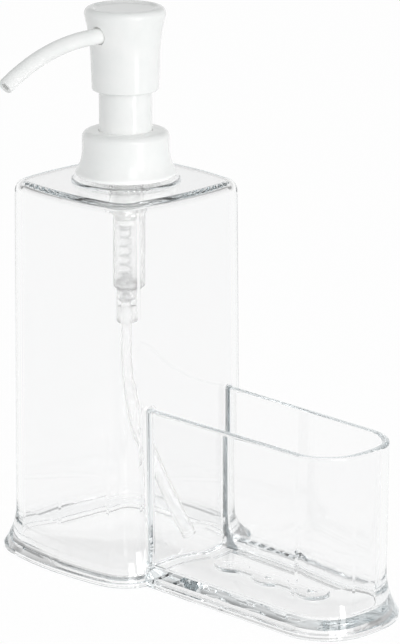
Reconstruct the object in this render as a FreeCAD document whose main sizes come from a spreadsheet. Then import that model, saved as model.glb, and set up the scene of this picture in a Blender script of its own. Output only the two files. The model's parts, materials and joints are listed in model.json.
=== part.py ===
import FreeCAD, Part
import math
import operator
import os
import types

import Sketcher

doc = FreeCAD.newDocument("soap_pump_caddy")
sheet = doc.addObject("Spreadsheet::Sheet", "sizes")

# Driving dimensions in millimetres, apart from shares, counts and angles, which their names show.
# The origin is on the pump's axis in the plane that the caddy stands on.
driving = {
    # cuts run past the solid by this much
    "overrun": 1.0,
    # bottle: square with bowed sides, narrowing upwards
    "bottle_half": 35.6,
    "bottle_bow_radius": 128.0,
    "bottle_corner_radius": 12.0,
    "bottle_draft_share": 0.01,
    "bottle_wall": 2.6,
    "shoulder_height": 143.4,
    "shoulder_wall": 2.8,
    "shoulder_rounding": 4.2,
    "shoulder_lap": 0.6,
    # flared foot, the same all round the bottle and the tray
    "foot_reach": 4.6,
    "foot_edge": 2.4,
    "foot_nose": 1.2,
    "foot_cove_height": 15.6,
    # tray: tapers a little towards its rounded end and widens upwards
    "tray_setback": 2.0,
    "tray_taper": 1.6,
    "tray_draft_share": 0.005,
    "tray_length": 87.8,
    "tray_end_radius": 60.0,
    "tray_end_flat": 4.0,
    "tray_wall": 2.7,
    "tray_rim_height": 66.7,
    "tray_rim_flat": 0.5,
    "tray_floor": 5.0,
    "tray_recess": 1.2,
    "tray_fillet": 1.8,
    # rib on the tray floor: round lobes that flow into a bar
    "lobe_radius": 7.0,
    "lobe_height": 1.9,
    "lobe_offset": 21.3,
    "lobe_pitch": 19.65,
    "lobe_count": 3,
    "lobe_bar_half": 3.6,
    "lobe_flow_radius": 3.0,
    "lobe_edge": 0.8,
    "dimple_radius": 2.2,
    "dimple_depth": 1.3,
    # plate welded into the bottle's underside
    "plate_thickness": 1.8,
    "plate_recess": 0.6,
    "plate_ledge": 1.6,
    "plate_clearance": 0.1,
    # neck and its thread
    "neck_radius": 12.7,
    "neck_wall": 2.1,
    "neck_height": 14.6,
    "neck_ring_lip": 1.65,
    "neck_ring_height": 1.0,
    "thread_pitch": 4.2,
    "thread_depth": 1.2,
    "thread_root": 1.9,
    "thread_crest": 0.9,
    "thread_sink": 0.2,
    "thread_gap": 0.5,
    "thread_drop": 9.6,
    "neck_thread_turns": 1.5,
    "collar_thread_turns": 1.0,
    # screw collar
    "collar_wall": 1.75,
    "collar_gap": 0.9,
    "collar_skirt_flare": 2.6,
    "collar_skirt_edge": 1.0,
    "collar_skirt_wall": 1.5,
    "collar_skirt_height": 10.1,
    "collar_roof": 1.9,
    "collar_shoulder": 2.2,
    "collar_dome": 0.7,
    "collar_clearance": 0.1,
    "sleeve_clearance": 0.15,
    # gasket and pump housing
    "gasket_thickness": 1.0,
    "flange_lip": 0.2,
    "flange_thickness": 1.3,
    "cup_clearance": 1.0,
    "cup_wall": 1.4,
    "cup_depth": 9.0,
    "cup_floor": 1.5,
    "chamber_radius": 6.5,
    "chamber_wall": 1.1,
    "chamber_length": 45.0,
    "chamber_floor": 1.6,
    "socket_radius": 4.8,
    "socket_depth": 6.0,
    "inlet_port": 1.6,
    "inlet_port_length": 1.6,
    "inlet_depth": 6.4,
    "inlet_gap": 1.0,
    # inlet ball and its cage
    "inlet_ball_radius": 2.3,
    "seat_clearance": 0.1,
    "cage_flange": 1.5,
    "cage_spigot": 1.0,
    "cage_bore": 1.4,
    "cage_clearance": 0.05,
    # sleeve that stands on the housing
    "sleeve_step": 0.2,
    "sleeve_wall": 1.9,
    "sleeve_lap": 2.7,
    "sleeve_edge": 0.6,
    "guide_thickness": 3.0,
    # stem, piston and spring seat
    "stem_wall": 0.6,
    "stem_bore": 2.0,
    "stem_drop": 6.7,
    "shank_radius": 2.7,
    "running_clearance": 0.05,
    "outlet_gap": 0.5,
    "outlet_depth": 6.0,
    "outlet_ball_radius": 2.4,
    "piston_height": 7.0,
    "piston_waist": 0.6,
    "piston_lip": 1.4,
    "shank_gap": 0.2,
    "seat_inset": 0.8,
    "seat_thickness": 2.0,
    "seat_boss_height": 2.6,
    "seat_boss_clearance": 0.25,
    "seat_bore": 1.3,
    # spring
    "spring_radius": 2.75,
    "spring_wire": 0.8,
    "spring_length": 22.1,
    "spring_open_turns": 5.0,
    "spring_end_turns": 1.5,
    "spring_end_gap": 0.5,
    # head
    "head_gap": 15.0,
    "head_height": 30.6,
    "head_clearance": 1.05,
    "head_waist_rise": 8.7,
    "head_waist_flare": 0.3,
    "head_edge": 0.5,
    "head_brow_flare": 2.6,
    "head_flare_radius": 80.0,
    "head_rounding": 2.2,
    "head_dish": 0.5,
    "head_bevel": 1.0,
    "head_wall": 1.5,
    "head_brow_wall": 3.0,
    "head_ceiling": 2.0,
    "spout_hole_clearance": 0.35,
    # core inside the head
    "core_clearance": 1.9,
    "core_inset": 2.2,
    "core_disc_inset": 1.15,
    "core_disc": 2.0,
    "port_radius": 4.4,
    "port_setback": 0.2,
    "port_socket": 3.8,
    # spout
    "spout_depth": 9.2,
    "spout_radius": 2.9,
    "spout_bore": 1.5,
    "spout_straight": 17.0,
    "spout_bend_radius": 76.0,
    "spout_drop": 12.2,
    # dip tube
    "tube_radius": 2.75,
    "tube_bore": 2.0,
    "tube_straight": 9.4,
    "tube_bend_radius": 110.0,
    "tube_bend_drop": 46.5,
    "tube_end_gap": 3.0,
    "tube_heading_degrees": 45.6,
}

for row, (name, number) in enumerate(driving.items(), start=1):
    cell = f"B{row}"
    sheet.set(f"A{row}", name)
    sheet.set(cell, str(number))
    sheet.setAlias(cell, name)
doc.recompute()


class Size:
    # A number together with the sheet expression that gives it.
    def __init__(self, value, text):
        self.value = value
        self.text = text

    def __add__(self, other):
        return combined(self, "+", other)

    def __sub__(self, other):
        return combined(self, "-", other)

    def __mul__(self, other):
        return combined(self, "*", other)

    def __rmul__(self, other):
        return combined(other, "*", self)

    def __truediv__(self, other):
        return combined(self, "/", other)

    def __neg__(self):
        return combined(-1, "*", self)


signs = {"+": operator.add, "-": operator.sub, "*": operator.mul, "/": operator.truediv}


def as_size(number):
    return number if isinstance(number, Size) else Size(number, str(number))


def combined(left, sign, right):
    left, right = as_size(left), as_size(right)
    return Size(signs[sign](left.value, right.value), f"({left.text} {sign} {right.text})")


def root(square):
    return Size(math.sqrt(square.value), f"sqrt({square.text})")


s = types.SimpleNamespace(**{name: Size(float(sheet.get(name)), f"sizes.{name}") for name in driving})

# Places along the bottle and the tray.
tray_half = s.bottle_half - s.bottle_corner_radius - s.tray_setback
tray_corner = tray_half - s.tray_taper - s.tray_end_flat
tray_end = s.bottle_half + s.tray_length
lobe_first = s.bottle_half + s.lobe_offset
plate_top = s.plate_recess + s.plate_thickness

# Radii, each from the piece that it goes into or over: neck, housing, sleeve, collar, head and core.
neck_bore = s.neck_radius - s.neck_wall
flange_radius = s.neck_radius + s.flange_lip
collar_bore = s.neck_radius + s.thread_depth + s.thread_gap
collar_radius = collar_bore + s.collar_wall
skirt_radius = collar_radius + s.collar_skirt_flare
neck_ring_radius = skirt_radius + s.neck_ring_lip
cup_radius = neck_bore - s.cup_clearance
cup_bore = cup_radius - s.cup_wall
chamber_bore = s.chamber_radius - s.chamber_wall
ball_room = s.inlet_ball_radius + s.inlet_gap
sleeve_radius = cup_radius + s.sleeve_step
sleeve_bore = sleeve_radius - s.sleeve_wall
outlet_room = s.outlet_ball_radius + s.outlet_gap
stem_radius = outlet_room + s.stem_wall
shank_bore = s.shank_radius + s.running_clearance
head_foot_radius = sleeve_radius + s.head_clearance + s.head_wall
head_waist_radius = head_foot_radius + s.head_waist_flare
head_brow_radius = head_foot_radius + s.head_brow_flare
core_radius = sleeve_bore - s.core_clearance
core_disc_radius = head_waist_radius - s.head_wall - s.core_disc_inset
port_end = core_disc_radius - s.port_setback

# Heights from the shoulder up to the top of the head.
neck_top = s.shoulder_height + s.neck_height
thread_start = neck_top - s.thread_drop
flange_foot = neck_top + s.gasket_thickness
flange_top = flange_foot + s.flange_thickness
collar_foot = s.shoulder_height + s.neck_ring_height + s.collar_gap
collar_waist = collar_foot + s.collar_skirt_height
collar_ceiling = flange_top + s.collar_clearance
collar_top = collar_ceiling + s.collar_roof
head_foot = collar_top + s.head_gap
head_waist = head_foot + s.head_waist_rise
head_top = head_foot + s.head_height
head_brow = head_top - s.head_rounding - s.head_edge
head_inside = head_top - s.head_dish - s.head_ceiling
spout_height = head_top - s.spout_depth
sleeve_top = head_foot + s.sleeve_lap
core_foot = head_foot + s.core_inset
stem_top = spout_height - s.stem_drop
outlet_seat = stem_top - s.outlet_depth

# Heights from the neck down to the end of the dip tube, and up again along the spring.
cup_foot = flange_foot - s.cup_depth
cup_floor_top = cup_foot + s.cup_floor
chamber_foot = cup_foot - s.chamber_length
cage_rest = chamber_foot - s.chamber_floor
inlet_seat = cage_rest - s.inlet_depth
socket_top = inlet_seat - s.inlet_port_length
socket_foot = socket_top - s.socket_depth
tube_bend_top = socket_foot - s.tube_straight
tube_end = plate_top + s.tube_end_gap
spring_foot = cage_rest + s.cage_flange
seat_foot = spring_foot + s.spring_length
piston_foot = seat_foot + s.seat_thickness
piston_top = piston_foot + s.piston_height


def new_body(label):
    body = doc.addObject("PartDesign::Body", label)
    body.Label = label
    return body


def origin_part(body, role):
    return next(item for item in body.Origin.OriginFeatures if item.Role == role)


def bind(sketch, constraint, size):
    index = sketch.addConstraint(constraint)
    sketch.setExpression(f"Constraints[{index}]", size.text)


def place_point(sketch, geometry, end, x, y):
    # a point's two coordinates: on the axis where the coordinate is zero, bound to the sheet elsewhere
    for kind, axis, size in (("DistanceX", -2, as_size(x)), ("DistanceY", -1, as_size(y))):
        if size.text == "0":
            sketch.addConstraint(Sketcher.Constraint("PointOnObject", geometry, end, axis))
        else:
            bind(sketch, Sketcher.Constraint(kind, geometry, end, size.value), size)


def new_sketch(body, name, plane, lift):
    sketch = body.newObject("Sketcher::SketchObject", name)
    sketch.AttachmentSupport = [(origin_part(body, plane), "")]
    sketch.MapMode = "FlatFace"
    if lift is not None:
        sketch.setExpression("AttachmentOffset.Base.z", lift.text)
    return sketch


def arc_between(first, last, radius):
    # the short arc from first to last: anticlockwise for a positive radius, clockwise for a negative one
    chord = last - first
    left = FreeCAD.Vector(-chord.y, chord.x, 0).normalize()
    rise = math.sqrt(max(radius * radius - chord.Length ** 2 / 4, 0))
    centre = (first + last) * 0.5 + left * math.copysign(rise, radius)
    start, stop = (first, last) if radius > 0 else (last, first)
    angles = [math.atan2(point.y - centre.y, point.x - centre.x) for point in (start, stop)]
    circle = Part.Circle(centre, FreeCAD.Vector(0, 0, 1), abs(radius))
    return Part.ArcOfCircle(circle, angles[0], angles[1])


def outline(body, name, plane, points, lift=None, closed=True):
    # points are (x, y), or (x, y, radius) where an arc leads to the point from the one before it
    sketch = new_sketch(body, name, plane, lift)
    spots = [FreeCAD.Vector(as_size(p[0]).value, as_size(p[1]).value, 0) for p in points]
    count = len(points) if closed else len(points) - 1
    ends = []
    for index in range(count):
        target = (index + 1) % len(points)
        radius = points[target][2] if len(points[target]) > 2 else None
        if radius is None:
            sketch.addGeometry(Part.LineSegment(spots[index], spots[target]), False)
        else:
            sketch.addGeometry(arc_between(spots[index], spots[target], radius.value), False)
        ends.append((1, 2) if radius is None or radius.value > 0 else (2, 1))
    for index in range(count):
        after = (index + 1) % count
        if closed or after:
            sketch.addConstraint(
                Sketcher.Constraint("Coincident", index, ends[index][1], after, ends[after][0])
            )
        place_point(sketch, index, ends[index][0], *points[index][:2])
    if not closed:
        place_point(sketch, count - 1, ends[-1][1], *points[-1][:2])
    for index in range(count):
        target = (index + 1) % len(points)
        if len(points[target]) > 2:
            radius = points[target][2]
            size = radius if radius.value > 0 else -radius
            bind(sketch, Sketcher.Constraint("Radius", index, size.value), size)
    return sketch


def circles(body, name, plane, rounds, lift=None):
    # rounds are (x, y, radius)
    sketch = new_sketch(body, name, plane, lift)
    for index, (x, y, radius) in enumerate(rounds):
        centre = FreeCAD.Vector(as_size(x).value, as_size(y).value, 0)
        sketch.addGeometry(Part.Circle(centre, FreeCAD.Vector(0, 0, 1), radius.value), False)
        place_point(sketch, index, 3, x, y)
        bind(sketch, Sketcher.Constraint("Radius", index, radius.value), radius)
    return sketch


def turned(body, name, points, kind="PartDesign::Revolution"):
    # a profile of (radius, height) points turned about the pump's axis
    profile = outline(body, f"{name}_profile", "XZ_Plane", points)
    feature = body.newObject(kind, name)
    feature.Profile = profile
    feature.ReferenceAxis = (profile, ["V_Axis"])
    feature.Angle = 360
    return feature


def pushed(body, name, sketch, length, kind="PartDesign::Pad", backwards=False):
    feature = body.newObject(kind, name)
    feature.Profile = sketch
    feature.setExpression("Length", length.text)
    feature.Reversed = backwards
    return feature


def piped(body, name, profile, path):
    # a section carried along a flat path
    feature = body.newObject("PartDesign::AdditivePipe", name)
    feature.Profile = profile
    feature.Spine = (path, [])
    return feature


def bowed_square(half, bow, corner):
    # four bowed sides joined by round corners, anticlockwise from the middle of the front side
    inset = bow - half
    reach = bow - corner
    centre = (root(2 * reach * reach - inset * inset) - inset) / 2
    along = bow * centre / reach
    out = bow * (centre + inset) / reach - inset
    return [
        (0, -half, bow),
        (along, -out, bow),
        (out, -along, corner),
        (out, along, bow),
        (along, out, corner),
        (-along, out, bow),
        (-out, along, corner),
        (-out, -along, bow),
        (-along, -out, corner),
    ]


# the tray's walls start halfway through the bottle's bowed wall
tray_start = s.bottle_half - tray_half * tray_half / (2 * s.bottle_bow_radius) - s.bottle_wall / 2


def tray_path(half, end, bow, corner):
    # front side, rounded end and back side of the tray, from the bottle's wall and back to it
    start = tray_start
    slope = s.tray_taper / (tray_end - start)
    lean = root(slope * slope + 1)
    middle = end - bow
    reach = bow - corner
    offset = half + slope * start - corner * lean
    pull = middle + slope * offset
    square = pull * pull - lean * lean * (middle * middle + offset * offset - reach * reach)
    corner_x = (pull + root(square)) / (lean * lean)
    corner_y = offset - slope * corner_x
    side_x = corner_x + corner * slope / lean
    side_y = corner_y + corner / lean
    end_x = middle + bow * (corner_x - middle) / reach
    end_y = bow * corner_y / reach
    return [
        (start, -half),
        (side_x, -side_y),
        (end_x, -end_y, corner),
        (end_x, end_y, bow),
        (side_x, side_y, corner),
        (start, half),
    ]


def tray_outline(inset):
    return tray_path(
        tray_half - inset, tray_end - inset, s.tray_end_radius - inset, tray_corner - inset
    )


def bottle_outline(inset):
    return bowed_square(s.bottle_half - inset, s.bottle_bow_radius - inset, s.bottle_corner_radius - inset)


def foot_profile(edge, lean):
    # outer side of a wall's section down to the floor: concave sweep, short upright and rounded nose
    top = s.foot_edge + s.foot_cove_height
    lip = edge - lean * top
    outer = edge - s.foot_reach
    rise = lip - outer
    cove = (s.foot_cove_height * s.foot_cove_height + rise * rise) / (2 * rise)
    return [
        (lip, top),
        (outer, s.foot_edge, -cove),
        (outer, s.foot_nose),
        (outer + s.foot_nose, 0, s.foot_nose),
    ]


def bottle_section():
    # wall of the bottle, leaning inwards, and round over the shoulder with one thickness
    edge = -s.bottle_half
    inner = edge + s.bottle_wall
    lean = -s.bottle_draft_share
    rounding = s.shoulder_rounding
    hollow = rounding - s.bottle_wall
    top = s.shoulder_height
    ceiling = top - s.shoulder_wall
    below = top - rounding
    under = ceiling - hollow
    flat = edge - lean * below + rounding
    return [
        (inner, 0),
        (inner - lean * under, under),
        (inner - lean * under + hollow, ceiling, -hollow),
        (flat + s.shoulder_lap, ceiling),
        (flat + s.shoulder_lap, top),
        (flat, top),
        (edge - lean * below, below, rounding),
    ] + foot_profile(edge, lean)


def tray_section():
    # wall of the tray with its rounded rim, leaning outwards
    edge = -tray_half
    lean = s.tray_draft_share
    inner = edge + s.tray_wall
    rounding = (s.tray_wall - s.tray_rim_flat) / 2
    top = s.tray_rim_height
    below = top - rounding
    return [
        (inner, 0),
        (inner - lean * below, below),
        (inner - lean * below - rounding, top, rounding),
        (edge - lean * below + rounding, top),
        (edge - lean * below, below, rounding),
    ] + foot_profile(edge, lean)


def caddy_body():
    body = new_body("caddy_body")
    shoulder = s.shoulder_height
    ceiling = shoulder - s.shoulder_wall
    # bottle: its wall carried round the bowed square, closed by the shoulder plate
    path = outline(body, "bottle_path", "XY_Plane", bottle_outline(as_size(0)))
    section = outline(body, "bottle_section", "YZ_Plane", bottle_section())
    piped(body, "bottle_wall", section, path)
    below = shoulder - s.shoulder_rounding
    inset = s.bottle_draft_share * below + s.shoulder_rounding + s.shoulder_lap / 2
    plate = outline(body, "shoulder_outline", "XY_Plane", bottle_outline(inset), ceiling)
    pushed(body, "shoulder_plate", plate, s.shoulder_wall)
    # inside the tray the bottle's side runs straight down, so its flared foot is cut away there
    clear_half = tray_half - s.tray_wall / 2
    bow = s.bottle_bow_radius
    clear_start = s.bottle_half - bow + root(bow * bow - clear_half * clear_half)
    clear_end = s.bottle_half + s.foot_reach + s.overrun
    clear_foot = (s.tray_recess + s.tray_floor) / 2
    area = outline(body, "clearing_outline", "XY_Plane", [
        (clear_start, -clear_half, -bow),
        (clear_end, -clear_half),
        (clear_end, clear_half),
        (clear_start, clear_half),
    ], clear_foot)
    clear_height = s.foot_edge + s.foot_cove_height
    pushed(body, "foot_clearing", area, clear_height, "PartDesign::Pocket", True)
    # tray: its wall carried round three sides, with the floor raised above the foot
    path = outline(body, "tray_path", "XY_Plane", tray_outline(as_size(0)), closed=False)
    section = outline(body, "tray_section", "YZ_Plane", tray_section(), tray_start)
    piped(body, "tray_wall", section, path)
    points = tray_outline(s.tray_wall / 2)
    points[0] += (-s.bottle_bow_radius,)
    floor = outline(body, "floor_outline", "XY_Plane", points, s.tray_recess)
    floor_pad = pushed(body, "tray_floor", floor, s.tray_floor - s.tray_recess)
    rounded(body, "tray_fillets", floor_pad, s.tray_fillet, is_tray_seam)
    # seat for the base plate, cut into the foot of the bottle's wall
    seat = outline(body, "seat_outline", "XY_Plane", bottle_outline(s.bottle_wall - s.plate_ledge))
    pushed(body, "plate_seat", seat, plate_top, "PartDesign::Pocket", True)
    # neck, with the low ring that the collar's skirt stands over
    ring_top = shoulder + s.neck_ring_height
    ring_edge = neck_ring_radius - s.neck_ring_height
    turned(body, "neck", [
        (0, ceiling),
        (ring_edge, ceiling),
        (ring_edge, shoulder),
        (neck_ring_radius, shoulder),
        (ring_edge, ring_top, s.neck_ring_height),
        (s.neck_radius, ring_top),
        (s.neck_radius, neck_top),
        (0, neck_top),
    ])
    turned(body, "neck_bore", [
        (0, ceiling - s.overrun),
        (neck_bore, ceiling - s.overrun),
        (neck_bore, neck_top + s.overrun),
        (0, neck_top + s.overrun),
    ], "PartDesign::Groove")
    thread(body, s.neck_radius, s.thread_depth, thread_start, s.neck_thread_turns)
    # rib on the tray floor: a bar that swells into round lobes, each with a dimple in its top
    rib = outline(body, "rib_outline", "XY_Plane", rib_points(), s.tray_floor)
    rib_pad = pushed(body, "rib", rib, s.lobe_height)
    lobe_top = s.tray_floor + s.lobe_height
    rounded(body, "rib_edge", rib_pad, s.lobe_edge, lambda edge: is_level(edge, lobe_top))
    dimple = circles(body, "dimple_outline", "XY_Plane", [(lobe_first, 0, s.dimple_radius)], lobe_top)
    dimple_cut = pushed(body, "dimple", dimple, s.dimple_depth, "PartDesign::Pocket")
    row = body.newObject("PartDesign::LinearPattern", "dimple_row")
    row.Originals = [dimple_cut]
    row.Direction = (dimple, ["H_Axis"])
    row.setExpression("Length", (s.lobe_pitch * (s.lobe_count - 1)).text)
    row.setExpression("Occurrences", s.lobe_count.text)
    body.Tip = row
    return body


def rib_points():
    # anticlockwise from the bar's front side: lobes are arcs, and small arcs lead from them into the bar
    lobe = s.lobe_radius
    half = s.lobe_bar_half
    flow = s.lobe_flow_radius
    reach = root((lobe + flow) * (lobe + flow) - (half + flow) * (half + flow))
    side = lobe * reach / (lobe + flow)
    out = lobe * (half + flow) / (lobe + flow)
    places = [lobe_first + s.lobe_pitch * step for step in range(driving["lobe_count"])]
    first, last = places[0], places[-1]
    front = [(first + reach, -half, -flow)]
    for place in places[1:-1]:
        front += [
            (place - reach, -half),
            (place - side, -out, -flow),
            (place + side, -out, lobe),
            (place + reach, -half, -flow),
        ]
    front += [(last - reach, -half), (last - side, -out, -flow)]
    back = [(last - side, out, lobe), (last - reach, half, -flow)]
    for place in reversed(places[1:-1]):
        back += [
            (place + reach, half),
            (place + side, out, -flow),
            (place - side, out, lobe),
            (place - reach, half, -flow),
        ]
    back += [(first + reach, half), (first + side, out, -flow)]
    right = [(last, -lobe, lobe), (last + lobe, 0, lobe), (last, lobe, lobe)]
    left = [(first, lobe, lobe), (first - lobe, 0, lobe), (first, -lobe, lobe), (first + side, -out, lobe)]
    return front + right + back + left


def is_level(edge, height):
    # an edge that lies in the level plane at this height
    box = edge.BoundBox
    return abs(box.ZMin - height.value) < 0.01 and abs(box.ZMax - height.value) < 0.01


def is_tray_seam(edge):
    # the edge round the tray's floor, or where the tray's wall and rim meet the bottle
    place = edge.CenterOfMass
    across = abs(place.y) - tray_half.value
    in_seam = place.x < s.bottle_half.value and -s.tray_wall.value - 0.5 < across < 0.5
    return is_level(edge, s.tray_floor) or in_seam and place.z > s.tray_floor.value


def rounded(body, name, base, radius, chosen):
    # a rounding on the chosen edges of the feature before it
    doc.recompute()
    feature = body.newObject("PartDesign::Fillet", name)
    feature.Base = (base, [f"Edge{count}" for count, edge in enumerate(base.Shape.Edges, start=1) if chosen(edge)])
    feature.setExpression("Radius", radius.text)
    return feature


def thread(body, wall, depth, start, turns):
    # one helical ridge on the wall, outwards for a positive depth and inwards for a negative one
    sink = s.thread_sink * (1 if depth.value > 0 else -1)
    section = outline(body, f"{body.Label}_thread_section", "XZ_Plane", [
        (wall - sink, start - s.thread_root / 2),
        (wall + depth, start - s.thread_crest / 2),
        (wall + depth, start + s.thread_crest / 2),
        (wall - sink, start + s.thread_root / 2),
    ])
    ridge = body.newObject("PartDesign::AdditiveHelix", f"{body.Label}_thread")
    ridge.Profile = section
    ridge.ReferenceAxis = (section, ["V_Axis"])
    ridge.Mode = "pitch-turns-angle"
    ridge.setExpression("Pitch", s.thread_pitch.text)
    ridge.setExpression("Turns", turns.text)
    return ridge


def base_plate():
    body = new_body("base_plate")
    inset = s.bottle_wall - s.plate_ledge + s.plate_clearance
    plate = outline(body, "plate_outline", "XY_Plane", bottle_outline(inset), s.plate_recess)
    pushed(body, "plate", plate, s.plate_thickness)
    return body


def collar():
    body = new_body("collar")
    wall = collar_radius
    hole = sleeve_radius + s.sleeve_clearance
    edge = collar_foot + s.collar_skirt_edge
    rise = collar_waist - edge
    flare = s.collar_skirt_flare
    cove = (rise * rise + flare * flare) / (2 * flare)
    eave = collar_top - s.collar_dome - s.collar_shoulder
    turned(body, "collar_shell", [
        (skirt_radius - s.collar_skirt_wall, collar_foot),
        (skirt_radius, collar_foot),
        (skirt_radius, edge),
        (wall, collar_waist, -cove),
        (wall, eave),
        (wall - s.collar_shoulder, eave + s.collar_shoulder, s.collar_shoulder),
        (hole, collar_top),
        (hole, collar_ceiling),
        (collar_bore, collar_ceiling),
        (collar_bore, collar_waist),
        (collar_bore, edge + s.collar_skirt_wall),
    ])
    thread(body, collar_bore, -s.thread_depth, thread_start + s.thread_pitch / 2, s.collar_thread_turns)
    return body


def neck_gasket():
    body = new_body("neck_gasket")
    turned(body, "gasket", [
        (neck_bore, neck_top),
        (s.neck_radius, neck_top),
        (s.neck_radius, flange_foot),
        (neck_bore, flange_foot),
    ])
    return body


def pump_housing():
    body = new_body("pump_housing")
    seat_top = inlet_seat + ball_room - s.inlet_port
    turned(body, "housing", [
        (s.tube_radius, socket_foot),
        (s.socket_radius, socket_foot),
        (s.socket_radius, cage_rest - s.chamber_floor),
        (s.chamber_radius, chamber_foot - s.chamber_floor),
        (s.chamber_radius, cup_foot),
        (cup_radius, cup_foot),
        (cup_radius, flange_foot),
        (flange_radius, flange_foot),
        (flange_radius, flange_top),
        (cup_bore, flange_top),
        (cup_bore, cup_floor_top),
        (chamber_bore, cup_floor_top),
        (chamber_bore, cage_rest),
        (ball_room, cage_rest),
        (ball_room, seat_top),
        (s.inlet_port, inlet_seat),
        (s.inlet_port, socket_top),
        (s.tube_radius, socket_top),
    ])
    return body


def ball(label, radius, seat, port):
    # a ball over a cone of 45 degrees that opens upwards from the port's edge at seat:
    # it touches the cone at its own radius over the root of two
    touch = radius / root(as_size(2))
    centre = seat + 2 * touch - port + s.seat_clearance
    piece = doc.addObject("Part::Sphere", label)
    piece.Label = label
    piece.setExpression("Radius", radius.text)
    piece.setExpression("Placement.Base.z", centre.text)
    return piece


def ball_cage():
    body = new_body("ball_cage")
    turned(body, "cage", [
        (s.cage_bore, cage_rest - s.cage_spigot),
        (ball_room - s.cage_clearance, cage_rest - s.cage_spigot),
        (ball_room - s.cage_clearance, cage_rest),
        (chamber_bore - s.cage_clearance, cage_rest),
        (chamber_bore - s.cage_clearance, spring_foot),
        (s.cage_bore, spring_foot),
    ])
    return body


def neck_sleeve():
    body = new_body("neck_sleeve")
    guide = stem_radius + s.running_clearance
    turned(body, "sleeve", [
        (guide, cup_floor_top),
        (cup_bore, cup_floor_top),
        (cup_bore, flange_top),
        (sleeve_radius, flange_top),
        (sleeve_radius, sleeve_top - s.sleeve_edge),
        (sleeve_radius - s.sleeve_edge, sleeve_top, s.sleeve_edge),
        (sleeve_bore, sleeve_top),
        (sleeve_bore, cup_floor_top + s.guide_thickness),
        (guide, cup_floor_top + s.guide_thickness),
    ])
    return body


def stem():
    body = new_body("stem")
    seat_top = outlet_seat + outlet_room - s.stem_bore
    turned(body, "stem_tube", [
        (s.stem_bore, piston_foot + s.shank_gap),
        (s.shank_radius, piston_foot + s.shank_gap),
        (s.shank_radius, piston_top + s.shank_gap),
        (stem_radius, piston_top + s.shank_gap),
        (stem_radius, stem_top),
        (outlet_room, stem_top),
        (outlet_room, seat_top),
        (s.stem_bore, outlet_seat),
    ])
    return body


def piston():
    body = new_body("piston")
    lip = chamber_bore - s.running_clearance
    waist = lip - s.piston_waist
    turned(body, "piston_ring", [
        (shank_bore, piston_foot),
        (lip, piston_foot),
        (lip, piston_foot + s.piston_lip),
        (waist, piston_foot + s.piston_lip + s.piston_waist),
        (waist, piston_top - s.piston_lip - s.piston_waist),
        (lip, piston_top - s.piston_lip),
        (lip, piston_top),
        (shank_bore, piston_top),
    ])
    return body


def spring_seat():
    body = new_body("spring_seat")
    boss = s.spring_radius - s.spring_wire / 2 - s.seat_boss_clearance
    turned(body, "seat", [
        (s.seat_bore, seat_foot - s.seat_boss_height),
        (boss, seat_foot - s.seat_boss_height),
        (boss, seat_foot),
        (chamber_bore - s.seat_inset, seat_foot),
        (chamber_bore - s.seat_inset, piston_foot),
        (s.seat_bore, piston_foot),
    ])
    return body


def spring():
    # one wire: close end coils with a small gap, then open coils, then close end coils again
    wire = s.spring_wire.value
    radius = s.spring_radius.value
    close = wire + s.spring_end_gap.value
    low = spring_foot.value + wire / 2
    high = seat_foot.value - wire / 2
    end_turns = s.spring_end_turns.value
    open_turns = s.spring_open_turns.value
    open_pitch = (high - low - 2 * end_turns * close) / open_turns

    def spot(turn):
        if turn < end_turns:
            height = low + close * turn
        elif turn < end_turns + open_turns:
            height = low + close * end_turns + open_pitch * (turn - end_turns)
        else:
            height = high - close * (2 * end_turns + open_turns - turn)
        angle = 2 * math.pi * turn
        return FreeCAD.Vector(radius * math.cos(angle), radius * math.sin(angle), height)

    def heading(turn):
        step = 0.001
        return (spot(turn + step) - spot(turn - step)).normalize()

    # four biarcs to the turn
    turns = 2 * end_turns + open_turns
    quarters = [index / 4 for index in range(round(4 * turns) + 1)]
    edges = []
    for first, last in zip(quarters, quarters[1:]):
        edges += biarc(spot(first), heading(first), spot(last), heading(last))
    way_in = edges[0].tangentAt(edges[0].FirstParameter)
    section = Part.Wire(Part.Edge(Part.Circle(spot(0), way_in, wire / 2)))
    shape = Part.Wire(edges).makePipeShell([section], True, False)
    steps = 24
    points = [spot(index / steps) for index in range(round(steps * turns) + 1)]
    gaps = [
        (near - far).Length - wire
        for index, near in enumerate(points)
        for far in points[index + steps // 2:]
    ]
    print(f"spring: least gap to itself {min(gaps):.2f} mm, open pitch {open_pitch:.2f} mm")
    piece = doc.addObject("Part::Feature", "spring")
    piece.Label = "spring"
    piece.Shape = shape
    piece.Placement = FreeCAD.Placement()
    return piece


def biarc(first, way_in, last, way_out):
    # two tangent arcs from first to last that keep both headings
    chord = last - first
    square = 2 * (1 - way_in.dot(way_out))
    mixed = chord.dot(way_in + way_out)
    reach = (-mixed + math.sqrt(mixed * mixed + square * chord.dot(chord))) / square
    joint = (first + last + (way_in - way_out) * reach) * 0.5
    leaving = Part.Arc(first, arc_middle(first, way_in, joint), joint)
    arriving = Part.Arc(joint, arc_middle(last, -way_out, joint), last)
    return [leaving.toShape(), arriving.toShape()]


def arc_middle(start, way, stop):
    # middle of the arc that leaves start along way and ends at stop
    chord = stop - start
    normal = way.cross(chord).cross(way).normalize()
    radius = chord.dot(chord) / (2 * chord.dot(normal))
    centre = start + normal * radius
    return centre + ((start + stop) * 0.5 - centre).normalize() * radius


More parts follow.
